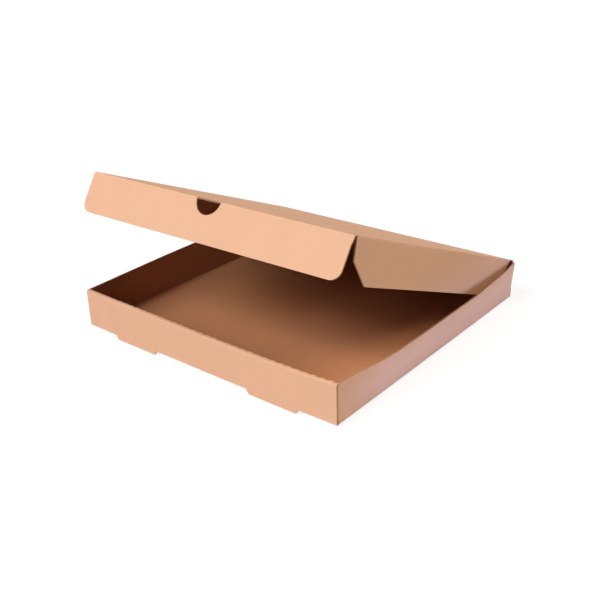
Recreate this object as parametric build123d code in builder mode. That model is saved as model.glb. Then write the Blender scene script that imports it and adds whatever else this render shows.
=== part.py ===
"""Folding pizza box of thin corrugated board, standing half open.

X runs to the right along the front wall, Y to the rear and Z up.
The origin is the centre of the base's underside.
"""
from build123d import *
from math import cos, radians, sin, sqrt, tan
import os

os.makedirs("parts", exist_ok=True)

# Board and fits, in millimetres
board = 1.5
layer_gap = 0.2
fold_gap = 0.04
overshoot = 5.0

# Tray: outside width and depth, and the height of its front and side walls
tray_w = 330.0
tray_d = 330.0
wall_h = 41.5
bottom_round = 1.2
rim_round = 1.25
corner_seam = 0.4
corner_flap_len = 68.0
corner_flap_drop = 2.0
corner_flap_slope = 9.0
slot_start = 61.0
slot_len = 61.5
slot_slant = 2.6
foot_depth = 4.0
lock_tab_inset = 3.0
nick_pitch = 9.0
nick_len = 4.6
nick_depth = 0.7

# Side walls stand out of plumb along the top: greatest lean, and its share at places from -1 to 1
right_lean = 9.0
right_bow = ((-1.0, 0.06), (-0.92, 0.23), (-0.83, 0.42), (-0.67, 0.83), (-0.52, 0.98), (-0.2, 1.0),
             (0.4, 0.99), (0.64, 0.74), (0.85, 0.54), (1.0, 0.32))
left_lean = 8.8
left_bow = ((-1.0, 0.0), (-0.9, 0.07), (-0.53, 0.48), (-0.25, 0.8), (0.0, 0.99), (0.3, 1.0),
            (0.6, 0.8), (0.85, 0.5), (1.0, 0.26))

# Lid: its room above the walls, inside the side walls and behind the front wall
lid_rest_clear = 1.0
lid_side_clear = 0.5
lid_front_clear = 0.6
lid_angle = 21.8

# Lid's front flap
front_end_clear = 0.5
front_floor_clear = 1.2
front_angle = 78.0
front_round = 10.5
finger_r = 15.0

# Lid's side flaps
side_floor_clear = 1.0
side_angle = 90.5
side_rear_start = 4.0
side_rear_slant = 34.0
side_front_start = 2.5
side_step_depth = 21.0
side_step_back = 6.0
side_chamfer_back = 31.0

# Half angles that the boards keep on the inside of each fold
hinge_mitre_angle = 44.0
front_mitre_angle = 40.5
side_mitre_angle = 27.0

half_w = tray_w / 2
half_d = tray_d / 2
roll_depth = 3 * board + 2 * layer_gap
wall_end = half_d - board - layer_gap
hinge_h = wall_h + board + lid_rest_clear
lid_w = tray_w - 2 * (board + lid_side_clear)
lid_l = tray_d - roll_depth - lid_front_clear
front_flap_w = lid_w - 2 * front_end_clear
front_flap_d = hinge_h - board - front_floor_clear
side_flap_d = hinge_h - board - side_floor_clear


def tilted(origin, angle):
    """Plane of a panel that faces up when angle is 0 and turns about X; the panel runs along its -y."""
    return Plane(origin=origin, x_dir=(1, 0, 0), z_dir=(0, sin(radians(angle)), cos(radians(angle))))


def across(plane):
    """Section plane square to a panel's fold: its axes are the panel's y and z."""
    return Plane(origin=plane.origin, x_dir=plane.y_dir, z_dir=plane.x_dir)


lid_plane = tilted((0, half_d, hinge_h), lid_angle)
front_plane = tilted(lid_plane.from_local_coords((0, -lid_l, 0)), lid_angle - front_angle)


def side_plane(side):
    """Plane of a side flap: its local x runs down the flap on the right and up it on the left."""
    fold = radians(side_angle)
    origin = lid_plane.from_local_coords((side * lid_w / 2, 0, 0))
    along = lid_plane.x_dir * cos(fold) - lid_plane.z_dir * (side * sin(fold))
    face = lid_plane.x_dir * (side * sin(fold)) + lid_plane.z_dir * cos(fold)
    return Plane(origin=origin, x_dir=along, z_dir=face)


def bowed_wall(side, most, bow):
    """Side wall as a loft of leaning sections, straight at the base and bowed along its top edge."""
    sections = []
    for place, share in bow:
        y = place * wall_end
        lean = share * most
        rise = sqrt(wall_h ** 2 - lean ** 2)
        foot = side * (half_w + lean * board * 0.8 / wall_h)
        head = side * (half_w + lean)
        with BuildSketch(Plane(origin=(0, y, 0), x_dir=(1, 0, 0), z_dir=(0, -1, 0))) as section:
            with BuildLine():
                Polyline((foot, board * 0.8), (head, rise), (head - side * board, rise),
                         (foot - side * board, board * 0.8), close=True)
            make_face()
        sections.append(section.sketch)
    loft(sections)


def corner_flap(side, end, lean):
    """Flap folded in from a side wall's end, leaning as the wall does there and cut at a slope to its tip."""
    root = half_w - board / 2
    tip = half_w - board - corner_flap_len
    low = board + corner_flap_drop
    high = wall_h - board - corner_flap_drop
    middle = Plane(origin=(0, end * (wall_end - board / 2), 0), x_dir=(1, 0, 0), z_dir=(0, -1, 0))
    with BuildSketch(middle) as outline:
        with BuildLine():
            Polyline((side * (root + lean * low / wall_h), low), (side * (root + lean * high / wall_h), high),
                     (side * tip, high - corner_flap_slope), (side * tip, low + corner_flap_slope), close=True)
        make_face()
    extrude(outline.sketch, amount=board / 2, both=True)


with BuildPart() as tray:
    Box(tray_w, tray_d, board, align=(Align.CENTER, Align.CENTER, Align.MIN))
    fillet(tray.faces().sort_by(Axis.Z)[0].edges(), bottom_round)
    # Slots behind the front fold that take the lock tabs
    slot_end = slot_start + slot_len
    slot_w = roll_depth - board + layer_gap
    for side in (-1, 1):
        with Locations((side * (slot_start + slot_len / 2), -half_d + board + slot_w / 2, 0)):
            Box(slot_len, slot_w, 4 * board, mode=Mode.SUBTRACT)
    # Roll-over front wall in section, then the shorter inner panel and its lock tabs
    with BuildSketch(Plane.YZ):
        with Locations((-half_d + roll_depth / 2, (wall_h + board) / 2)):
            rim = Rectangle(roll_depth, wall_h - board)
        fillet(rim.vertices().group_by(Axis.Y)[-1], rim_round)
        with Locations((-half_d + roll_depth / 2, (wall_h - board) / 2)):
            Rectangle(roll_depth - 2 * board, wall_h - board, mode=Mode.SUBTRACT)
        with Locations((-half_d + roll_depth - board / 2, board)):
            Rectangle(board, 2 * layer_gap, mode=Mode.SUBTRACT)
    extrude(amount=half_w - corner_seam, both=True)
    for side in (-1, 1):
        with Locations((side * half_w, -half_d + board + overshoot / 2, wall_h / 2 + board)):
            Box(2 * (board + 2 * layer_gap), overshoot, wall_h, mode=Mode.SUBTRACT)
        with Locations((side * (slot_start + slot_len / 2), -half_d + roll_depth - board / 2, layer_gap)):
            Box(slot_len - 2 * lock_tab_inset, board, 2 * board,
                align=(Align.CENTER, Align.CENTER, Align.MIN))
        # Feet: what the slots leave standing in line with the front wall
        with BuildSketch(Plane(origin=(0, -half_d, 0), x_dir=(1, 0, 0), z_dir=(0, -1, 0))):
            with BuildLine():
                Polyline((side * slot_start, 2 * board), (side * slot_end, 2 * board), (side * slot_end, 0),
                         (side * (slot_end - slot_slant), -foot_depth),
                         (side * (slot_start + slot_slant), -foot_depth), (side * slot_start, 0), close=True)
            make_face()
        extrude(amount=-board)
    # Perforated crease along the inner edge of the rim
    nick_count = int((tray_w - 4 * board) // nick_pitch)
    with Locations((0, -half_d + roll_depth, wall_h)):
        with GridLocations(nick_pitch, 1, nick_count, 1):
            Box(nick_len, 2 * nick_depth, 2 * nick_depth, mode=Mode.SUBTRACT)
    # Rear wall, its top mitred at the lid's fold
    with BuildSketch(Plane.YZ):
        with BuildLine():
            Polyline((half_d, board * 0.8), (half_d, hinge_h - fold_gap),
                     (half_d - board, hinge_h - fold_gap - board / tan(radians(hinge_mitre_angle))),
                     (half_d - board, board * 0.8), close=True)
        make_face()
    extrude(amount=half_w - corner_seam, both=True)
    for side, most, bow in ((1, right_lean, right_bow), (-1, left_lean, left_bow)):
        bowed_wall(side, most, bow)
        for end, share in ((-1, bow[0][1]), (1, bow[-1][1])):
            corner_flap(side, end, most * share)
tray.part.label = "tray"
export_step(tray.part, "parts/tray.step")

with BuildPart() as lid:
    with BuildSketch(lid_plane):
        with Locations((0, -lid_l / 2)):
            Rectangle(lid_w - 2 * fold_gap, lid_l - 2 * fold_gap)
    with BuildSketch(lid_plane.offset(-board)):
        rear_in = fold_gap + board / tan(radians(hinge_mitre_angle))
        front_in = fold_gap + board / tan(radians(front_mitre_angle))
        side_in = fold_gap + board / tan(radians(side_mitre_angle))
        with Locations((0, -(lid_l - front_in + rear_in) / 2)):
            Rectangle(lid_w - 2 * side_in, lid_l - front_in - rear_in)
    loft()
lid.part.label = "lid"
export_step(lid.part, "parts/lid.step")

with BuildPart() as front_flap:
    with BuildSketch(front_plane):
        with Locations((0, -fold_gap)):
            shape = Rectangle(front_flap_w, front_flap_d - fold_gap, align=(Align.CENTER, Align.MAX))
        fillet(shape.vertices().group_by(Axis.Y)[0], front_round)
        Circle(finger_r, mode=Mode.SUBTRACT)
    extrude(amount=-board)
    with BuildSketch(across(front_plane)):
        with BuildLine():
            Polyline((-fold_gap, 0), (overshoot, 0), (overshoot, -2 * board),
                     (-fold_gap - 2 * board / tan(radians(front_mitre_angle)), -2 * board), close=True)
        make_face()
    extrude(amount=tray_w, both=True, mode=Mode.SUBTRACT)
front_flap.part.label = "front_flap"
export_step(front_flap.part, "parts/front_flap.step")


def side_flap(side):
    """Side flap with a slanted rear end and a stepped, chamfered front end."""
    plane = side_plane(side)
    with BuildSketch(plane) as outline:
        with BuildLine():
            Polyline((side * fold_gap, -side_rear_start), (side * side_flap_d, -side_rear_slant),
                     (side * side_flap_d, -lid_l + side_chamfer_back),
                     (side * side_step_depth, -lid_l + side_step_back),
                     (side * fold_gap, -lid_l + side_front_start), close=True)
        make_face()
    extrude(outline.sketch, amount=-board)
    with BuildSketch(Plane(origin=plane.origin, x_dir=plane.x_dir, z_dir=-plane.y_dir)) as mitre:
        with BuildLine():
            Polyline((side * fold_gap, 0), (-side * overshoot, 0), (-side * overshoot, -2 * board),
                     (side * (fold_gap + 2 * board / tan(radians(side_mitre_angle))), -2 * board), close=True)
        make_face()
    extrude(mitre.sketch, amount=2 * tray_d, both=True, mode=Mode.SUBTRACT)


with BuildPart() as left_flap:
    side_flap(-1)
left_flap.part.label = "left_flap"
export_step(left_flap.part, "parts/left_flap.step")

with BuildPart() as right_flap:
    side_flap(1)
right_flap.part.label = "right_flap"
export_step(right_flap.part, "parts/right_flap.step")
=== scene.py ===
import math

import bpy
import numpy as np
from mathutils import Matrix


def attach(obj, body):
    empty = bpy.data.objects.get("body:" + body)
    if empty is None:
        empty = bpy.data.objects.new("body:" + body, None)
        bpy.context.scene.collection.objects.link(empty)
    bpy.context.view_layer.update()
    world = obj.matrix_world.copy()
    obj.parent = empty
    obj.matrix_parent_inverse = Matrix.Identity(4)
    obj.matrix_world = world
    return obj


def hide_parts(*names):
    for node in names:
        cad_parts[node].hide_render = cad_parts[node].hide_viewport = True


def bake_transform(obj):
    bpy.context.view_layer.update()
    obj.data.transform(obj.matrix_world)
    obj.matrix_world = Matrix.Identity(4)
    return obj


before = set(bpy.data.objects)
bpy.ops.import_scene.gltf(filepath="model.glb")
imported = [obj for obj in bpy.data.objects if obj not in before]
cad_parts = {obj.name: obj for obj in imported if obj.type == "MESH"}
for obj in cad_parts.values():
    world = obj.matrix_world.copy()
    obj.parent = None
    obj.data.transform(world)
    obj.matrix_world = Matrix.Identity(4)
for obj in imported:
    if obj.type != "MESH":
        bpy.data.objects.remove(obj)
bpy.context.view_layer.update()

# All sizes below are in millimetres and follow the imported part; meshes are written in metres.
MM = 0.001
BOARD = 1.5
FLUTE_PITCH = 3.3
HALF = 165.0
WALL_H = 41.5
WALL_END = 163.3
SEAM_HALF = 164.6
ROLL_DEPTH = 4.9
SLOT = (61.0, 122.5)
SLOT_BACK = -159.9
FOOT_DEPTH = 4.0
FOOT_SLANT = 2.6
TAB_INSET = 3.0
NICK_PITCH = 9.0
RIM_FOOT = WALL_H - 3.5
INNER_HALF = WALL_END - 0.2
FLAP_LEN = 68.0
FLAP_SLOPE = 9.0
FLAP_LOW = 3.5
FLAP_HIGH = 38.0

HINGE_H = 44.0
LID_HALF = 163.0
LID_LEN = 324.5
LID_TILT = math.radians(21.8)
LID_CAMBER = 2.0
FRONT_HALF = 162.5
FRONT_DEPTH = 41.3
FRONT_FOLD = math.radians(78.0)
FRONT_ROUND = 10.5
FINGER_R = 15.0
SIDE_DEPTH = 41.5
SIDE_FOLD = math.radians(90.5)
SIDE_REAR = ((0.0, 4.0), (41.5, 34.0))
SIDE_FRONT = ((0.0, 322.0), (21.0, 318.5), (41.5, 293.5))

# How far the creases reach from a fold's line, the outer radius of a fold, and the parts of its arc
REACH = 2.8
FOLD_R = 1.8
ARC_PARTS = 8
CREASE_PARTS = 10

# Wear of the front flap: its right end's trim, its left end's slant, and what it hangs lower or higher there
FRONT_TRIM = ((REACH, 9.0), (0.5, 1.3))
FRONT_SLANT = 1.2
FRONT_HANG = ((-162.5, 0.0, 162.5), (0.7, 0.0, -0.9))

# Score along the side flaps' folds: its half width, how far the crushed board is cut back on the inside
# and by how much more further from the fold, and the inner liner's place and the board's thickness on the line
SCORE = 1.2
SCORE_BACK = 2.95
SCORE_EASE = 0.15
SCORE_LINE = 0.2
SCORE_THICK = 0.06
HAIR = 0.03

# Wear and painted highlight of the folds: the band on the lid beside the side flaps, the share on the crease
# strips, and how far a fully worn fold takes the fold colour; on the outside that colour is real wear plus a
# painted highlight
LID_WEAR_AND_PAINTED_LIGHT = 5.0
CREASE_WEAR_AND_PAINTED_LIGHT = 0.35
WEAR_AND_PAINTED_LIGHT_MIX = 0.7

# Lean of the side walls at the top edge: greatest lean, and its share at places along the wall
RIGHT_LEAN = 9.0
RIGHT_BOW = ((-1.0, 0.06), (-0.92, 0.23), (-0.83, 0.42), (-0.67, 0.83), (-0.52, 0.98), (-0.2, 1.0),
             (0.4, 0.99), (0.64, 0.74), (0.85, 0.54), (1.0, 0.32))
LEFT_LEAN = 8.8
LEFT_BOW = ((-1.0, 0.0), (-0.9, 0.07), (-0.53, 0.48), (-0.25, 0.8), (0.0, 0.99), (0.3, 1.0),
            (0.6, 0.8), (0.85, 0.5), (1.0, 0.26))

# How much higher the side walls end at the rear, beside the lid's hinge, and over what length they rise
REAR_LIFT = 1.8
REAR_RUN = 40.0

# Share by which the side walls' bottom folds run longer than the walls, to close the corners
FOOT_REACH = 0.014

# Corner flaps widen at their root: how far they reach down and up there, and how fast that fades,
# and the lengths over which the wall's lean fades and the front wall's shape is taken up
ROOT_DOWN, ROOT_DOWN_FADE = 2.9, 2.6
ROOT_UP, ROOT_UP_FADE = 3.4, 2.2
LEAN_FADE = 9.0
FOLLOW_START, FOLLOW_RUN = 1, 12

# The front wall gives a little in use: it bulges at its foot, leans at its top and its rim is pressed down
FRONT_BULGE = 1.0
FRONT_LEAN = 1.0
FRONT_PRESS = 1.8
FRONT_BOW = ((-1.0, 0.0), (-0.8, 0.25), (-0.5, 0.42), (-0.2, 0.66), (0.1, 0.85), (0.4, 0.98), (0.65, 1.0),
             (0.8, 0.85), (0.9, 0.65), (1.0, 0.35))

# Scallops along the rim's inner fold: height, sink between them and share pushed back, then the shares of the
# pitch in which one rises, ends and falls, the width and height of the fold that they take, and their unevenness
SCALLOP, SCALLOP_SINK, SCALLOP_BACK = 0.6, 0.1, 0.35
TOOTH_RISE, TOOTH_END, TOOTH_FALL = 0.3, 0.72, 0.08
TURN_START, TURN_WIDTH, TURN_HEIGHT = 3.4, 2.2, 3.0
RIM_SEED = 4
UNEVEN, UNEVEN_COUNT, UNEVEN_HALF = (0.4, 1.3), 40, 170
UNEVEN_GROWTH = ((-160, -40, 160), (0.25, 0.8, 1.1))

# Where panels start on the unfolded board
FLAT_MIDDLE = 209
FLAT_FOOT = 372
FLAT_RIM = 418
FLAT_INNER = 466
FLAT_LID = -46.0

# Mesh spacing along and across the panels
SHELL_STEP, RIM_STEP, INNER_STEP, SIDE_STEP = 8.0, 1.0, 8.0, 6.0
LID_STEP, FLAP_STEP, CREASE_STEP = 12.0, 4.0, 14.0

# Material slots of the board, and what counts as nothing in a comparison
OUTSIDE, INSIDE, EDGE_ACROSS, EDGE_ALONG = range(4)
TINY = 1e-6


def unit(v):
    return np.asarray(v, float) / np.linalg.norm(v)


def turned(v, angle):
    c, s = math.cos(angle), math.sin(angle)
    return np.array([v[0] * c - v[1] * s, v[0] * s + v[1] * c])


def stations(length, step):
    """Distances along a straight run, with a close pair at each end so that shading stays flat up to a fold."""
    shortest, pair = 2.5, 0.8
    if length < TINY:
        return [0.0]
    if length < shortest:
        return [0.0, length]
    inner = np.linspace(pair, length - pair, max(2, int(length / step) + 1))
    return [0.0, *inner, length]


def spread(step, *marks):
    """Positions from the first mark to the last, no further apart than step, with every mark among them."""
    out = [marks[0]]
    for a, b in zip(marks, marks[1:]):
        count = max(1, math.ceil((b - a) / step))
        out.extend(a + (b - a) * (k + 1) / count for k in range(count))
    return np.array(out)


def rounded_path(corners, radius, step, arc_parts=ARC_PARTS):
    """Points, outward normals, lengths and fold shares along runs joined by arcs that turn right."""
    corners = [np.array(c, float) for c in corners]
    points, normals, fold = [], [], []
    start = corners[0]
    for i in range(1, len(corners)):
        d = unit(corners[i] - corners[i - 1])
        n = np.array([-d[1], d[0]])
        turn = back = 0.0
        if i < len(corners) - 1:
            onward = unit(corners[i + 1] - corners[i])
            turn = math.acos(np.clip(d @ onward, -1, 1))
            back = radius * math.tan(turn / 2)
        end = corners[i] - back * d
        for t in stations((end - start) @ d, step):
            points.append(start + t * d)
            normals.append(n)
            fold.append(0.0)
        start = end
        if turn > TINY:
            centre = end - radius * n
            for k in range(1, arc_parts):
                m = turned(n, -turn * k / arc_parts)
                points.append(centre + radius * m)
                normals.append(m)
                fold.append(math.sin(math.pi * k / arc_parts))
            start = corners[i] + back * onward
        elif i < len(corners) - 1:
            points.pop(), normals.pop(), fold.pop()
    points, normals = np.array(points), np.array(normals)
    lengths = np.concatenate([[0], np.cumsum(np.linalg.norm(np.diff(points, axis=0), axis=1))])
    return points, normals, lengths, np.array(fold)


class Board:
    """Collects the faces of folded board: an outer and an inner liner, and the raw edges between them."""

    def __init__(self):
        self.points, self.faces, self.uvs, self.slots, self.fold, self.flat = [], [], [], [], [], []

    def _points(self, points, fold):
        base = sum(len(p) for p in self.points)
        self.points.append(np.asarray(points, float).reshape(-1, 3))
        self.fold.append(np.asarray(fold, float).ravel())
        return base

    def _face(self, corners, uv, slot, away, co, flat=False):
        """Adds one face, turned so that it looks away from the board."""
        normal = np.zeros(3)
        for k in range(len(co)):
            normal += np.cross(co[k - 1], co[k])
        if normal @ away < 0:
            corners, uv = corners[::-1], uv[::-1]
        self.faces.append(list(corners))
        self.uvs.extend(uv)
        self.slots.append(slot)
        self.flat.append(flat or slot >= EDGE_ACROSS)

    def _edge(self, ids, co, flat, away):
        """Raw edge from outer points 0, 1 to inner points 1, 0; flutes show where the cut crosses them."""
        run = np.abs(flat[1] - flat[0])
        crossing = run[0] > run[1]
        along = [f[0] if crossing else f[1] for f in flat]
        uv = [(along[0] * MM, 0), (along[1] * MM, 0), (along[1] * MM, 1), (along[0] * MM, 1)]
        self._face(ids, uv, EDGE_ACROSS if crossing else EDGE_ALONG, away, co)

    def grid(self, outer, inner, flat, keep=None, fold=None):
        """Sheet over a grid of points; flat holds each point's place on the unfolded board."""
        rows, cols = outer.shape[:2]
        keep = np.ones((rows - 1, cols - 1), bool) if keep is None else keep
        fold = np.zeros((rows, cols)) if fold is None else fold
        base_out = self._points(outer, fold)
        base_in = self._points(inner, fold)
        for i in range(rows - 1):
            for j in range(cols - 1):
                if not keep[i, j]:
                    continue
                cell = ((i, j), (i, j + 1), (i + 1, j + 1), (i + 1, j))
                co_out = [outer[c] for c in cell]
                co_in = [inner[c] for c in cell]
                uv = [tuple(flat[c] * MM) for c in cell]
                up = sum(co_out) - sum(co_in)
                self._face([base_out + c[0] * cols + c[1] for c in cell], uv, OUTSIDE, up, co_out)
                self._face([base_in + c[0] * cols + c[1] for c in cell], uv, INSIDE, -up, co_in)
                middle = (sum(co_out) + sum(co_in)) / 8
                for k, (di, dj) in enumerate(((-1, 0), (0, 1), (1, 0), (0, -1))):
                    ni, nj = i + di, j + dj
                    if 0 <= ni < rows - 1 and 0 <= nj < cols - 1 and keep[ni, nj]:
                        continue
                    a, b = cell[k], cell[(k + 1) % 4]
                    ids = [base_out + a[0] * cols + a[1], base_out + b[0] * cols + b[1],
                           base_in + b[0] * cols + b[1], base_in + a[0] * cols + a[1]]
                    co = [outer[a], outer[b], inner[b], inner[a]]
                    self._edge(ids, co, [flat[a], flat[b]], sum(co) / 4 - middle)

    def plate(self, outer, inner, flat):
        """Flat sheet with the outline given by matching outer, inner and unfolded points."""
        count = len(outer)
        base_out = self._points(outer, np.zeros(count))
        base_in = self._points(inner, np.zeros(count))
        uv = [tuple(f * MM) for f in flat]
        up = outer[0] - inner[0]
        self._face([base_out + k for k in range(count)], uv, OUTSIDE, up, outer, True)
        self._face([base_in + k for k in range(count)], uv, INSIDE, -up, inner, True)
        turn = sum(np.cross(outer[k - 1], outer[k]) for k in range(count)) @ up
        for k in range(count):
            n = (k + 1) % count
            co = [outer[k], outer[n], inner[n], inner[k]]
            away = np.cross(outer[n] - outer[k], up) * (1 if turn > 0 else -1)
            self._edge([base_out + k, base_out + n, base_in + n, base_in + k], co, [flat[k], flat[n]], away)

    def build(self, name, materials):
        points, fold = np.concatenate(self.points), np.concatenate(self.fold)
        used = np.unique(np.concatenate(self.faces))
        place = np.zeros(len(points), int)
        place[used] = np.arange(len(used))
        mesh = bpy.data.meshes.new(name)
        mesh.from_pydata((points[used] * MM).tolist(), [], [place[f].tolist() for f in self.faces])
        layer = mesh.uv_layers.new(name="flat")
        layer.data.foreach_set("uv", np.array(self.uvs, np.float32).ravel())
        mesh.polygons.foreach_set("material_index", np.array(self.slots, np.int32))
        mesh.polygons.foreach_set("use_smooth", ~np.array(self.flat))
        mesh.attributes.new("fold", "FLOAT", "POINT").data.foreach_set("value", fold[used].astype(np.float32))
        for m in materials:
            mesh.materials.append(m)
        mesh.update()
        sharp = np.zeros(len(mesh.edges), bool)
        for polygon, slot in zip(mesh.polygons, self.slots):
            if slot >= EDGE_ACROSS:
                for loop in polygon.loop_indices:
                    sharp[mesh.loops[loop].edge_index] = True
        mesh.attributes.new("sharp_edge", "BOOLEAN", "EDGE").data.foreach_set("value", sharp)
        piece = bpy.data.objects.new(name, mesh)
        bpy.context.scene.collection.objects.link(piece)
        return piece


def extruded(path, across, place, flat):
    """Outer and inner grids of a path in a section plane, carried along the positions in across."""
    points, normals, lengths, fold = path
    outer = np.array([[place(x, p) for x in across] for p in points])
    inner = np.array([[place(x, p - BOARD * n) for x in across] for p, n in zip(points, normals)])
    unfolded = np.array([[flat(x, s) for x in across] for s in lengths])
    return outer, inner, unfolded, np.repeat(fold[:, None], len(across), axis=1)


def section(x, p):
    return np.array([x, p[0], p[1]])


# Materials

def node(tree, kind, **values):
    made = tree.nodes.new(kind)
    for key, value in values.items():
        setattr(made, key, value)
    return made


def math_node(tree, operation, a, b=None, c=None):
    made = node(tree, "ShaderNodeMath", operation=operation)
    for socket, value in zip(made.inputs, (a, b, c)):
        if value is None:
            continue
        if isinstance(value, (int, float)):
            socket.default_value = value
        else:
            tree.links.new(value, socket)
    return made.outputs[0]


def noise(tree, vector, stretch, scale, detail, roughness=0.55):
    """Noise from -0.5 to 0.5 over the unfolded board, stretched along each of its axes."""
    mapping = node(tree, "ShaderNodeMapping")
    mapping.inputs["Scale"].default_value = stretch
    tree.links.new(vector, mapping.inputs["Vector"])
    made = node(tree, "ShaderNodeTexNoise")
    made.inputs["Scale"].default_value = scale
    made.inputs["Detail"].default_value = detail
    made.inputs["Roughness"].default_value = roughness
    tree.links.new(mapping.outputs[0], made.inputs["Vector"])
    return math_node(tree, "SUBTRACT", made.outputs[0], 0.5)


def scaled_sum(tree, start, *terms):
    total = start
    for value, amount in terms:
        total = math_node(tree, "MULTIPLY_ADD", value, amount, total)
    return total


def waves(tree, along):
    """Sine of the flutes, from a distance across them in metres."""
    return math_node(tree, "SINE", math_node(tree, "MULTIPLY", along, 2 * math.pi / (FLUTE_PITCH * MM)))


def start_material(name):
    made = bpy.data.materials.new(name)
    made.use_nodes = True
    tree = made.node_tree
    return made, tree, tree.nodes["Principled BSDF"]


def kraft(name, colour, wear_and_painted_light, gloss):
    """Plain kraft liner: long fibres, fine specks, cloudy formation and the flutes showing faintly through. Along
    the folds it blends toward a second colour, which on the outside liner is lighter: real wear of the fibres
    plus a painted highlight.
    """
    made, tree, shader = start_material(name)
    place = node(tree, "ShaderNodeUVMap", uv_map="flat").outputs[0]
    parts = node(tree, "ShaderNodeSeparateXYZ")
    tree.links.new(place, parts.inputs[0])
    flute = waves(tree, parts.outputs[0])
    fibre = noise(tree, place, (1.0, 0.22, 1.0), 1500.0, 5.0)
    cross = noise(tree, place, (0.3, 1.0, 1.0), 900.0, 4.0)
    speck = noise(tree, place, (1.0, 0.6, 1.0), 2600.0, 2.0, 0.7)
    cloud = noise(tree, place, (1.0, 0.7, 1.0), 38.0, 4.0, 0.6)
    dark = math_node(tree, "MAXIMUM", math_node(tree, "SUBTRACT", speck, 0.14), 0.0)
    tone = scaled_sum(tree, 1.0, (fibre, 0.13), (cross, 0.09), (cloud, 0.1), (flute, 0.012), (dark, -0.8))
    # Fold share from the mesh: blends toward the fold colour, which on the outside is real wear plus a painted
    # highlight along the fold
    fold = node(tree, "ShaderNodeAttribute", attribute_name="fold").outputs["Fac"]
    blend = node(tree, "ShaderNodeMix", data_type="RGBA")
    blend.inputs["A"].default_value = (*colour, 1)
    blend.inputs["B"].default_value = (*wear_and_painted_light, 1)
    tree.links.new(math_node(tree, "MULTIPLY", fold, WEAR_AND_PAINTED_LIGHT_MIX), blend.inputs["Factor"])
    shade = node(tree, "ShaderNodeHueSaturation")
    tree.links.new(blend.outputs["Result"], shade.inputs["Color"])
    tree.links.new(tone, shade.inputs["Value"])
    tree.links.new(shade.outputs[0], shader.inputs["Base Color"])
    tree.links.new(scaled_sum(tree, 0.74, (cross, 0.2), (fibre, 0.12)), shader.inputs["Roughness"])
    shader.inputs["Specular IOR Level"].default_value = gloss
    height = scaled_sum(tree, 0.0, (fibre, 0.35), (cross, 0.3), (speck, 0.15), (flute, 0.25))
    bump = node(tree, "ShaderNodeBump")
    bump.inputs["Strength"].default_value = 0.35
    bump.inputs["Distance"].default_value = 0.0001
    tree.links.new(height, bump.inputs["Height"])
    tree.links.new(bump.outputs[0], shader.inputs["Normal"])
    return made


def raw_edge(name, light, dark, across):
    """Cut edge of the board: two liners, and between them the fluted sheet cut across, or along, its waves. The
    hollows between the sheet and the liners get the dark colour, which is painted shade.
    """
    made, tree, shader = start_material(name)
    place = node(tree, "ShaderNodeUVMap", uv_map="flat").outputs[0]
    parts = node(tree, "ShaderNodeSeparateXYZ")
    tree.links.new(place, parts.inputs[0])
    along, height = parts.outputs[0], math_node(tree, "SUBTRACT", parts.outputs[1], 0.5)
    wander = noise(tree, place, (1.0, 0.001, 1.0), 500.0, 3.0)
    if across:
        line = scaled_sum(tree, 0.0, (waves(tree, along), 0.3), (wander, 0.1))
    else:
        line = scaled_sum(tree, 0.0, (wander, 0.7))
    off_sheet = math_node(tree, "ABSOLUTE", math_node(tree, "SUBTRACT", height, line))
    off_liner = math_node(tree, "SUBTRACT", 0.5, math_node(tree, "ABSOLUTE", height))
    nearest = math_node(tree, "MINIMUM", math_node(tree, "SUBTRACT", off_sheet, 0.05),
                        math_node(tree, "SUBTRACT", off_liner, 0.12))
    hollow_shade = node(tree, "ShaderNodeMapRange", interpolation_type="SMOOTHSTEP")
    tree.links.new(nearest, hollow_shade.inputs["Value"])
    hollow_shade.inputs["From Min"].default_value = 0.0
    hollow_shade.inputs["From Max"].default_value = 0.09
    grain = noise(tree, place, (1.0, 0.002, 1.0), 3000.0, 4.0)
    blend = node(tree, "ShaderNodeMix", data_type="RGBA")
    blend.inputs["A"].default_value = (*light, 1)
    blend.inputs["B"].default_value = (*dark, 1)
    tree.links.new(hollow_shade.outputs[0], blend.inputs["Factor"])
    shade = node(tree, "ShaderNodeHueSaturation")
    tree.links.new(blend.outputs["Result"], shade.inputs["Color"])
    tree.links.new(scaled_sum(tree, 1.0, (grain, 0.35)), shade.inputs["Value"])
    tree.links.new(shade.outputs[0], shader.inputs["Base Color"])
    tree.links.new(scaled_sum(tree, 0.88, (grain, 0.1)), shader.inputs["Roughness"])
    shader.inputs["Specular IOR Level"].default_value = 0.2
    bump = node(tree, "ShaderNodeBump")
    bump.inputs["Strength"].default_value = 0.6
    bump.inputs["Distance"].default_value = 0.0003
    tree.links.new(math_node(tree, "SUBTRACT", 1.0, hollow_shade.outputs[0]), bump.inputs["Height"])
    tree.links.new(bump.outputs[0], shader.inputs["Normal"])
    return made


# The outside's fold colour is lighter: real wear of the fibres plus a painted highlight along the folds
kraft_outside = kraft("kraft_outside", (0.67, 0.395, 0.253), (0.82, 0.51, 0.34), 0.35)
# The inside liner is darker and browner than the outside: partly a browner liner, partly painted shade of the
# box's interior; its fold colour is a little darker still
kraft_inside_shaded = kraft("kraft_inside_shaded", (0.46, 0.214, 0.104), (0.43, 0.20, 0.095), 0.08)
# Raw edges: the second colour is painted shade in the hollows of the flutes
edge_across = raw_edge("board_edge_across", (0.58, 0.335, 0.20), (0.20, 0.10, 0.05), True)
edge_along = raw_edge("board_edge_along", (0.58, 0.335, 0.20), (0.36, 0.19, 0.105), False)
MATERIALS = (kraft_outside, kraft_inside_shaded, edge_across, edge_along)


# Tray: rear wall, base and front wall are one run of board, with the roll-over along the front

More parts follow.
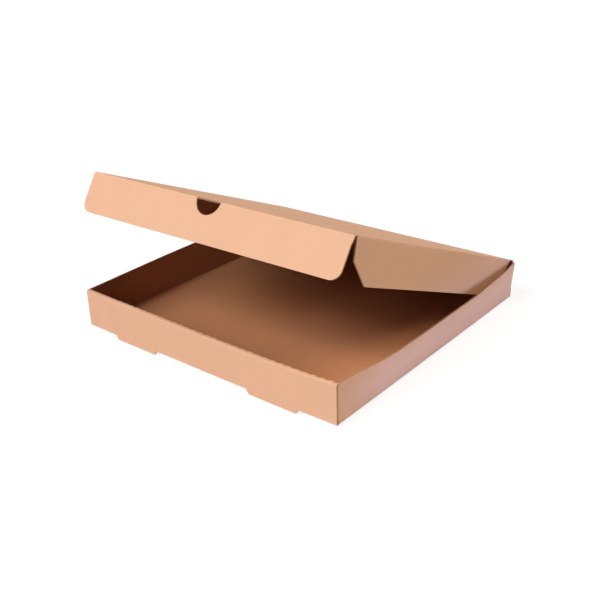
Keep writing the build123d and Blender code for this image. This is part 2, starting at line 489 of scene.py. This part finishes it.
def bow_share(bow, places):
    """Smooth share of the lean at places from -1 to 1."""
    past_end, count, smoothing = 1.3, 521, 27
    fine = np.linspace(-past_end, past_end, count)
    share = np.interp(fine, *zip(*bow))
    window = np.hanning(smoothing)
    return np.interp(places, fine, np.convolve(share, window / window.sum(), "same"))


def leaned(points):
    """Points of the front wall after its bulge, and its lean and pressed rim, which grow with height."""
    share = bow_share(FRONT_BOW, points[..., 0] / SEAM_HALF)
    height = np.clip(points[..., 2] / WALL_H, 0, 1)
    out = points.copy()
    out[..., 1] -= share * (FRONT_BULGE + FRONT_LEAN * height)
    out[..., 2] -= share * FRONT_PRESS * height
    return out


def shell(tray):
    """Rear wall, base and front wall up to the roll-over, with the lock slots left open."""
    path = rounded_path([(HALF, HINGE_H - REACH), (HALF, 0), (SLOT_BACK, 0), (-HALF, 0), (-HALF, RIM_FOOT)],
                        FOLD_R, 18.0)
    side = HALF - FOLD_R
    across = spread(SHELL_STEP, -SEAM_HALF, -side, -SLOT[1], -SLOT[0], SLOT[0], SLOT[1], side, SEAM_HALF)
    outer, inner, flat, fold = extruded(path, across, section, lambda x, s: (x, s))
    y, z = path[0][:, 0], path[0][:, 1]
    mid_x = np.abs(across[1:] + across[:-1]) / 2
    top = np.maximum(z[1:], z[:-1])
    behind_front = (np.minimum(y[1:], y[:-1]) < SLOT_BACK - TINY) & (top < FOLD_R + TINY)
    flush = (top < TINY) & (np.abs(y[1:] + y[:-1]) / 2 < side)
    corners = flush[:, None] & (mid_x > side)
    slots = behind_front[:, None] & ((mid_x > SLOT[0]) & (mid_x < SLOT[1]))
    front = y < SLOT_BACK
    outer[front], inner[front] = leaned(outer[front]), leaned(inner[front])
    tray.grid(outer, inner, flat, ~(corners | slots), fold)


def rim(tray):
    """Roll-over along the front: two folds, the inner one pushed out in small scallops by its perforation."""
    back = -HALF + ROLL_DEPTH
    path = rounded_path([(-HALF, RIM_FOOT), (-HALF, WALL_H), (back, WALL_H), (back, RIM_FOOT)], FOLD_R - 0.1, 2.0)
    across = spread(RIM_STEP, -SEAM_HALF, -INNER_HALF, INNER_HALF, SEAM_HALF)
    outer, inner, flat, _ = extruded(path, across, section, lambda x, s: (x, FLAT_RIM + s))
    y, z = path[0][:, 0], path[0][:, 1]
    turn = np.clip((y - (back - TURN_START)) / TURN_WIDTH, 0, 1) * np.clip((z - RIM_FOOT) / TURN_HEIGHT, 0, 1)
    rng = np.random.default_rng(RIM_SEED)
    places = np.linspace(-UNEVEN_HALF, UNEVEN_HALF, UNEVEN_COUNT)
    uneven = np.interp(across, places, rng.uniform(*UNEVEN, UNEVEN_COUNT))
    uneven *= np.interp(across, *UNEVEN_GROWTH)
    phase = (across / NICK_PITCH) % 1.0
    tooth = np.clip(phase / TOOTH_RISE, 0, 1) * np.clip((TOOTH_END - phase) / TOOTH_FALL, 0, 1)
    push = (turn[:, None] ** 2) * ((SCALLOP * tooth - SCALLOP_SINK) * uneven)[None, :]
    lift = np.zeros_like(outer)
    lift[..., 1] = SCALLOP_BACK * push
    lift[..., 2] = push
    tray.grid(leaned(outer + lift), leaned(inner + lift), flat)


def inner_panel(tray):
    """Inner panel of the front wall, with a lock tab reaching into each slot."""
    back = -HALF + ROLL_DEPTH
    heights = [RIM_FOOT, 30.0, 20.0, 10.0, 1.7, 0.2]
    points = np.array([(back, h) for h in heights])
    normals = np.tile((1.0, 0.0), (len(heights), 1))
    lengths = np.array([WALL_H - h for h in heights])
    a, b = SLOT[0] + TAB_INSET, SLOT[1] - TAB_INSET
    across = spread(INNER_STEP, -INNER_HALF, -b, -a, a, b, INNER_HALF)
    outer, inner, flat, _ = extruded((points, normals, lengths, np.zeros(len(heights))), across, section,
                                     lambda x, s: (x, FLAT_INNER + s))
    keep = np.ones((len(heights) - 1, len(across) - 1), bool)
    mid_x = np.abs(across[1:] + across[:-1]) / 2
    keep[-1] = (mid_x > a) & (mid_x < b)
    tray.grid(leaned(outer), leaned(inner), flat, keep)


def feet(tray):
    """What the slots leave standing in line with the front wall, below the base."""
    step, corner, corner_rise = 0.2, 0.6, 0.5
    a, b = SLOT[0] + FOOT_SLANT, SLOT[1] - FOOT_SLANT
    outline = [(SLOT[0], FOLD_R), (SLOT[1], FOLD_R), (SLOT[1], step), (b, -FOOT_DEPTH + corner_rise),
               (b - corner, -FOOT_DEPTH), (a + corner, -FOOT_DEPTH), (a, -FOOT_DEPTH + corner_rise),
               (SLOT[0], step)]
    for side in (-1, 1):
        outer = leaned(np.array([(side * x, -HALF, z) for x, z in outline]))
        inner = outer + np.array([0, BOARD, 0])
        tray.plate(outer, inner, np.array([(side * x, FLAT_FOOT + z) for x, z in outline]))


def side_wall(tray, side, most, bow):
    """Side wall rising from a rounded fold and leaning outward along its middle."""
    end = WALL_END - FOLD_R
    ys = spread(SIDE_STEP, -end, end)
    lifts = REAR_LIFT * np.clip((ys - end + REAR_RUN) / REAR_RUN, 0, 1) ** 2
    parts = np.linspace(0, 1, 9)
    fold_flat, wall_flat = 0.1, 3
    outer, inner, flat, fold = [], [], [], []
    for y, share, lift in zip(ys, bow_share(bow, ys / end), lifts):
        lean = share * most
        angle = math.asin(lean / WALL_H)
        turn = math.pi / 2 - angle
        back = FOLD_R * math.tan(turn / 2)
        start = np.array([HALF - back, 0.0])
        down = np.array([0.0, -1.0])
        rows = [((HALF - FOLD_R, 0.0), down, 0.0, 0.0)]
        for k in range(ARC_PARTS + 1):
            n = turned(down, turn * k / ARC_PARTS)
            p = start + np.array([0, FOLD_R]) + FOLD_R * n
            rows.append((p, n, fold_flat + FOLD_R * turn * k / ARC_PARTS, math.sin(math.pi * k / ARC_PARTS)))
        up = np.array([math.sin(angle), math.cos(angle)])
        foot = np.array([HALF, 0.0]) + back * up
        for t in parts[1:]:
            rows.append((foot + (WALL_H + lift - back) * t * up, n, wall_flat + (WALL_H - back) * t, 0.0))
        reach = [1 + FOOT_REACH * (p[1] < FOLD_R + 0.1) for p, n, s, f in rows]
        outer.append([(side * p[0], y * r, p[1]) for (p, n, s, f), r in zip(rows, reach)])
        inner.append([(side * (p[0] - BOARD * n[0]), y * r, p[1] - BOARD * n[1])
                      for (p, n, s, f), r in zip(rows, reach)])
        flat.append([(side * (HALF - FOLD_R + s), FLAT_MIDDLE - y) for p, n, s, f in rows])
        fold.append([f for p, n, s, f in rows])
    tray.grid(np.array(outer), np.array(inner), np.array(flat), None, np.array(fold))


def corner_flap(tray, side, end, lean):
    """Flap that turns in from a side wall's end, behind the front or rear wall."""
    points, normals, lengths, fold = rounded_path(
        [(HALF, -WALL_END + FOLD_R), (HALF, -WALL_END), (HALF - BOARD - FLAP_LEN, -WALL_END)], FOLD_R, 12.0)
    rows = np.linspace(0, 1, 5)
    root, root_up = 3, ROOT_UP + REAR_LIFT * (end > 0)
    outer, inner, flat, folds = [], [], [], []
    for p, n, s, f in zip(points, normals, lengths, fold):
        t = max(0.0, s - root) / FLAP_LEN
        low = FLAP_LOW - ROOT_DOWN * math.exp(-(s / ROOT_DOWN_FADE) ** 2) + FLAP_SLOPE * t
        high = FLAP_HIGH + root_up * math.exp(-(s / ROOT_UP_FADE) ** 2) - FLAP_SLOPE * t
        heights = low + (high - low) * rows
        q = p - BOARD * n
        shift = lean * max(0.0, 1 - s / LEAN_FADE)
        outer.append([(side * (p[0] + shift * h / WALL_H), -end * p[1], h) for h in heights])
        inner.append([(side * (q[0] + shift * h / WALL_H), -end * q[1], h) for h in heights])
        flat.append([(side * (HALF + h), FLAT_MIDDLE - end * (WALL_END - FOLD_R + s)) for h in heights])
        folds.append([f] * len(rows))
    outer, inner = np.array(outer), np.array(inner)
    if end < 0:
        follow = np.clip((lengths - FOLLOW_START) / FOLLOW_RUN, 0, 1)[:, None, None]
        outer = outer + follow * (leaned(outer) - outer)
        inner = inner + follow * (leaned(inner) - inner)
    tray.grid(outer, inner, np.array(flat), None, np.array(folds))


tray_board = Board()
shell(tray_board)
rim(tray_board)
inner_panel(tray_board)
feet(tray_board)
for side, most, bow in ((1, RIGHT_LEAN, RIGHT_BOW), (-1, LEFT_LEAN, LEFT_BOW)):
    side_wall(tray_board, side, most, bow)
    for end, share in ((-1, bow[0][1]), (1, bow[-1][1])):
        corner_flap(tray_board, side, end, most * share)


# Lid and its flaps, each in the plane of its own panel

X = np.array([1.0, 0.0, 0.0])
HINGE = np.array([0.0, HALF, HINGE_H])
LID_RUN = np.array([0.0, -math.cos(LID_TILT), math.sin(LID_TILT)])
LID_UP = np.array([0.0, math.sin(LID_TILT), math.cos(LID_TILT)])
FRONT_AT = HINGE + LID_LEN * LID_RUN
FRONT_RUN = math.cos(FRONT_FOLD) * LID_RUN - math.sin(FRONT_FOLD) * LID_UP
FRONT_OUT = math.sin(FRONT_FOLD) * LID_RUN + math.cos(FRONT_FOLD) * LID_UP


def side_axes(side):
    run = math.cos(SIDE_FOLD) * side * X - math.sin(SIDE_FOLD) * LID_UP
    out = math.sin(SIDE_FOLD) * side * X + math.cos(SIDE_FOLD) * LID_UP
    return run, out


def scored(away):
    """Inner liner's distance from a side fold and the board's thickness, by the outer liner's distance."""
    line = away < SCORE / 2
    inside = np.where(line, SCORE_LINE, np.maximum(away, SCORE_BACK + SCORE_EASE * away))
    return inside, np.where(line, SCORE_THICK, BOARD)


def lid_panel(lid):
    """Top panel, a little domed, with the finger hole's edge left raw at the front."""
    edge = LID_HALF - 2 * SCORE
    right = (FINGER_R, LID_HALF - LID_WEAR_AND_PAINTED_LIGHT, edge, LID_HALF - SCORE, LID_HALF - HAIR)
    xs = spread(LID_STEP, *(-x for x in right[::-1]), *right)
    away = LID_HALF - np.abs(xs)
    inside, thick = scored(away)
    # Band beside the side flaps that takes the fold colour: real wear plus a painted highlight along the fold
    fold_wear_and_light_share = np.clip(1 - away / LID_WEAR_AND_PAINTED_LIGHT, 0, 1)
    runs = np.concatenate([[REACH], spread(LID_STEP, SIDE_REAR[0][1], SIDE_FRONT[0][1] - 1.0),
                           [LID_LEN - REACH, LID_LEN]])
    dome_across = 1 - np.clip(np.abs(xs) / edge, 0, 1) ** 2.4
    dome_along = np.sin(math.pi * np.clip((runs - REACH) / (LID_LEN - 2 * REACH), 0, 1)) ** 0.7
    rise = dome_across[None, :] * dome_along[:, None] * LID_CAMBER
    outer = np.array([[HINGE + x * X + s * LID_RUN + h * LID_UP for x, h in zip(xs, row)]
                      for s, row in zip(runs, rise)])
    shift = np.sign(xs) * (LID_HALF - inside) - xs
    inner = outer + shift[None, :, None] * X - thick[None, :, None] * LID_UP
    flat = np.array([[(x, FLAT_LID - s) for x in xs] for s in runs])
    mid_x, mid_s = np.abs(xs[1:] + xs[:-1]) / 2, (runs[1:] + runs[:-1]) / 2
    keep = ~((mid_s > LID_LEN - REACH)[:, None] & (mid_x > FINGER_R)[None, :])
    lid.grid(outer, inner, flat, keep, np.tile(fold_wear_and_light_share, (len(runs), 1)))


def front_flap(flap):
    """Front flap with rounded lower corners and a half-moon finger hole at its fold."""
    arc = np.radians(np.linspace(0, 90, 9))
    low = FRONT_DEPTH - FRONT_ROUND
    far = FRONT_HALF - FRONT_ROUND
    right = [(FRONT_HALF, d) for d in FRONT_TRIM[0]]
    right += [(far + FRONT_ROUND * math.cos(a), low + FRONT_ROUND * math.sin(a)) for a in arc]
    left = [(-x, d) for x, d in right[::-1]]
    edge = math.asin(REACH / FINGER_R)
    hole = [(-FINGER_R * math.cos(a), FINGER_R * math.sin(a)) for a in np.linspace(edge, math.pi - edge, 25)]
    outline = []
    for x, d in right + left + hole:
        share = (d - REACH) / (FRONT_DEPTH - REACH)
        ends = (FRONT_SLANT * share, 0.0, -np.interp(d, *FRONT_TRIM))
        outline.append((x + np.interp(x, FRONT_HANG[0], ends), d + share * np.interp(x, *FRONT_HANG)))
    outer = np.array([FRONT_AT + x * X + d * FRONT_RUN for x, d in outline])
    inner = outer - BOARD * FRONT_OUT
    flap.plate(outer, inner, np.array([(x, FLAT_LID - LID_LEN - d) for x, d in outline]))


def side_flap(flap, side):
    """Side flap with a slanted rear end and a stepped, chamfered front end."""
    run, out = side_axes(side)
    depths = np.concatenate([[HAIR, SCORE], spread(FLAP_STEP, 2 * SCORE, SIDE_FRONT[1][0], SIDE_DEPTH)])
    inside, thick = scored(depths)
    # Strip along the fold that takes the fold colour: real wear plus a painted highlight along the fold
    fold_wear_and_light_share = np.clip(1 - depths / (2 * SCORE), 0, 1)
    shares = np.linspace(0, 1, 25)
    at = HINGE + side * LID_HALF * X
    outer, inner, flat = [], [], []
    for d, d_in, t in zip(depths, inside, thick):
        rear = np.interp(d, *zip(*SIDE_REAR))
        front = min(np.interp(d, *zip(*SIDE_FRONT)), LID_LEN - REACH - HAIR)
        places = rear + (front - rear) * shares
        outer.append([at + d * run + s * LID_RUN for s in places])
        inner.append([at + d_in * run - t * out + s * LID_RUN for s in places])
        flat.append([(side * (LID_HALF + d), FLAT_LID - s) for s in places])
    flap.grid(np.array(outer), np.array(inner), np.array(flat), None,
              np.tile(fold_wear_and_light_share[:, None], (1, len(shares))))


def fold_strip(name, at, run_a, out_a, angle, spans, unfold):
    """Creased board across one fold: a path that turns by angle from run_a, carried along spans in X."""
    strip = Board()
    corners = [(-REACH, 0.0), (0.0, 0.0), (REACH * math.cos(angle), -REACH * math.sin(angle))]
    path = rounded_path(corners, FOLD_R, 4.0, CREASE_PARTS)

    def place(x, p):
        return at + x * X + p[0] * run_a + p[1] * out_a

    for first, last in spans:
        outer, inner, flat, fold = extruded(path, spread(CREASE_STEP, first, last), place, unfold)
        # Crease strips take part of the fold colour: real wear plus a painted highlight
        strip.grid(outer, inner, flat, None, CREASE_WEAR_AND_PAINTED_LIGHT * fold)
    piece = strip.build(name, MATERIALS)
    run_b = math.cos(angle) * run_a - math.sin(angle) * out_a
    chord = unit(run_a + run_b)
    half = REACH * math.cos(angle / 2) - BOARD * math.sin(angle / 2) - 0.02
    return piece, (at - half * chord) * MM, (at + half * chord) * MM


lid_board, front_board, left_board, right_board = Board(), Board(), Board(), Board()
lid_panel(lid_board)
front_flap(front_board)
side_flap(left_board, -1)
side_flap(right_board, 1)

for board, node_name in ((tray_board, "tray"), (lid_board, "lid"), (front_board, "front_flap"),
                         (left_board, "left_flap"), (right_board, "right_flap")):
    piece = board.build(node_name + "_board", MATERIALS)
    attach(piece, node_name)
    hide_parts(node_name)

UP = np.array([0.0, 0.0, 1.0])
BACK = np.array([0.0, 1.0, 0.0])
folds = [
    ("hinge_crease", HINGE, UP, BACK, math.pi / 2 - LID_TILT, [(-SEAM_HALF, SEAM_HALF)],
     lambda x, s: (x, FLAT_LID + REACH - s), "tray", "lid"),
    ("front_crease", FRONT_AT, LID_RUN, LID_UP, FRONT_FOLD,
     [(-FRONT_HALF, -FINGER_R), (FINGER_R, FRONT_HALF - FRONT_TRIM[1][0])],
     lambda x, s: (x, FLAT_LID - LID_LEN + REACH - s), "lid", "front_flap"),
]
for name, at, run_a, out_a, angle, spans, unfold, body_a, body_b in folds:
    piece, start, end = fold_strip(name, at, run_a, out_a, angle, spans, unfold)
    tuple(start)
    tuple(end)
    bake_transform(piece)


# Floor, light and camera

def light_path_white(tree, share):
    """Share of plain white that only the camera and clear reflections see."""
    path = node(tree, "ShaderNodeLightPath")
    clear = math_node(tree, "MAXIMUM", path.outputs["Is Glossy Ray"], path.outputs["Is Transmission Ray"])
    seen = math_node(tree, "MAXIMUM", path.outputs["Is Camera Ray"], clear)
    return math_node(tree, "MULTIPLY", seen, share)


floor_half, floor_gap = 12.0, 0.02
floor_mesh = bpy.data.meshes.new("floor")
floor_corners = [(floor_half * x, floor_half * y, 0) for x, y in ((-1, -1), (1, -1), (1, 1), (-1, 1))]
floor_mesh.from_pydata(floor_corners, [], [(0, 1, 2, 3)])
floor = bpy.data.objects.new("floor", floor_mesh)
floor.location.z = -(FOOT_DEPTH + floor_gap) * MM
bpy.context.scene.collection.objects.link(floor)
floor_material, tree, shader = start_material("pale_floor")
shader.inputs["Base Color"].default_value = (0.76, 0.76, 0.76, 1)
shader.inputs["Roughness"].default_value = 0.9
shader.inputs["Specular IOR Level"].default_value = 0.1
white = node(tree, "ShaderNodeEmission")
white.inputs["Strength"].default_value = 1.2
mix = node(tree, "ShaderNodeMixShader")
tree.links.new(light_path_white(tree, 0.7), mix.inputs[0])
tree.links.new(shader.outputs[0], mix.inputs[1])
tree.links.new(white.outputs[0], mix.inputs[2])
tree.links.new(mix.outputs[0], tree.nodes["Material Output"].inputs["Surface"])
floor_mesh.materials.append(floor_material)

world = bpy.data.worlds.new("studio")
bpy.context.scene.world = world
world.use_nodes = True
tree = world.node_tree
soft = tree.nodes["Background"]
soft.inputs["Color"].default_value = (0.93, 0.97, 1.0, 1)
soft.inputs["Strength"].default_value = 0.03
plain = node(tree, "ShaderNodeBackground")
plain.inputs["Color"].default_value = (1, 1, 1, 1)
mix = node(tree, "ShaderNodeMixShader")
tree.links.new(light_path_white(tree, 1.0), mix.inputs[0])
tree.links.new(soft.outputs[0], mix.inputs[1])
tree.links.new(plain.outputs[0], mix.inputs[2])
tree.links.new(mix.outputs[0], tree.nodes["World Output"].inputs["Surface"])


def looking(back):
    """Turn of a lamp that shines against the direction back."""
    back = unit(back)
    right = unit(np.cross((0, 0, 1), back))
    return Matrix(np.column_stack([right, np.cross(back, right), back])).to_4x4()


def sun(name, toward, strength, spread_deg, colour):
    """Soft distant light from one direction; strength 1 lights a white board that faces it to white."""
    lamp = bpy.data.lights.new(name, "SUN")
    lamp.energy = strength * math.pi
    lamp.angle = math.radians(spread_deg)
    lamp.color = colour
    made = bpy.data.objects.new(name, lamp)
    made.matrix_world = looking(toward)
    bpy.context.scene.collection.objects.link(made)


def card(name, at, aim, wide, high, spread_deg, power, colour):
    """Plain reflector card, seen only by what it lights."""
    lamp = bpy.data.lights.new(name, "AREA")
    lamp.shape, lamp.size, lamp.size_y = "RECTANGLE", wide, high
    lamp.spread = math.radians(spread_deg)
    lamp.energy = power
    lamp.color = colour
    made = bpy.data.objects.new(name, lamp)
    made.matrix_world = Matrix.Translation(at) @ looking(np.subtract(at, aim))
    made.visible_camera = made.visible_glossy = False
    bpy.context.scene.collection.objects.link(made)


sun("key", (-0.18, -0.68, 0.66), 0.57, 22.0, (1.0, 0.95, 0.99))
sun("left_key", (-0.6, -0.6, 0.55), 0.44, 26.0, (1.0, 1.0, 0.93))
sun("right_top", (0.58, 0.16, 0.8), 0.49, 34.0, (1.0, 0.84, 0.66))
sun("front_fill", (0.36, -0.83, 0.42), 0.05, 24.0, (0.9, 0.95, 1.0))
card("floor_card", (0.26, 0.05, 0.006), (0.17, 0.05, 0.014), 0.38, 0.03, 70.0, 0.056, (0.26, 0.43, 1.0))

# Camera: place and aim found by fitting the box's corners and edges in the picture, 600 by 600
AZIMUTH, ELEVATION, ROLL = math.radians(39.59), math.radians(24.56), math.radians(-1.53)
OFFSET = np.array([-12.31, 14.06, 926.21])
FOCAL, CENTRE_X, CENTRE_Y, IMAGE = 837.6, 294.28, 297.79, 600.0
back = np.array([math.sin(AZIMUTH) * math.cos(ELEVATION), -math.cos(AZIMUTH) * math.cos(ELEVATION),
                 math.sin(ELEVATION)])
right = unit(np.cross((0, 0, 1), back))
up = np.cross(back, right)
rolled_right = math.cos(ROLL) * right + math.sin(ROLL) * up
rolled_up = -math.sin(ROLL) * right + math.cos(ROLL) * up
axes = np.column_stack([rolled_right, rolled_up, back])
lens = bpy.data.cameras.new("camera")
lens.sensor_width = 36.0
lens.lens = FOCAL / IMAGE * lens.sensor_width
lens.shift_x = (IMAGE / 2 - CENTRE_X) / IMAGE
lens.shift_y = (CENTRE_Y - IMAGE / 2) / IMAGE
lens.clip_start, lens.clip_end = 0.05, 60.0
camera = bpy.data.objects.new("camera", lens)
camera.matrix_world = Matrix.Translation(tuple(axes @ OFFSET * MM)) @ Matrix(axes).to_4x4()
bpy.context.scene.collection.objects.link(camera)
bpy.context.scene.camera = camera
bpy.context.scene.view_settings.view_transform = "Standard"
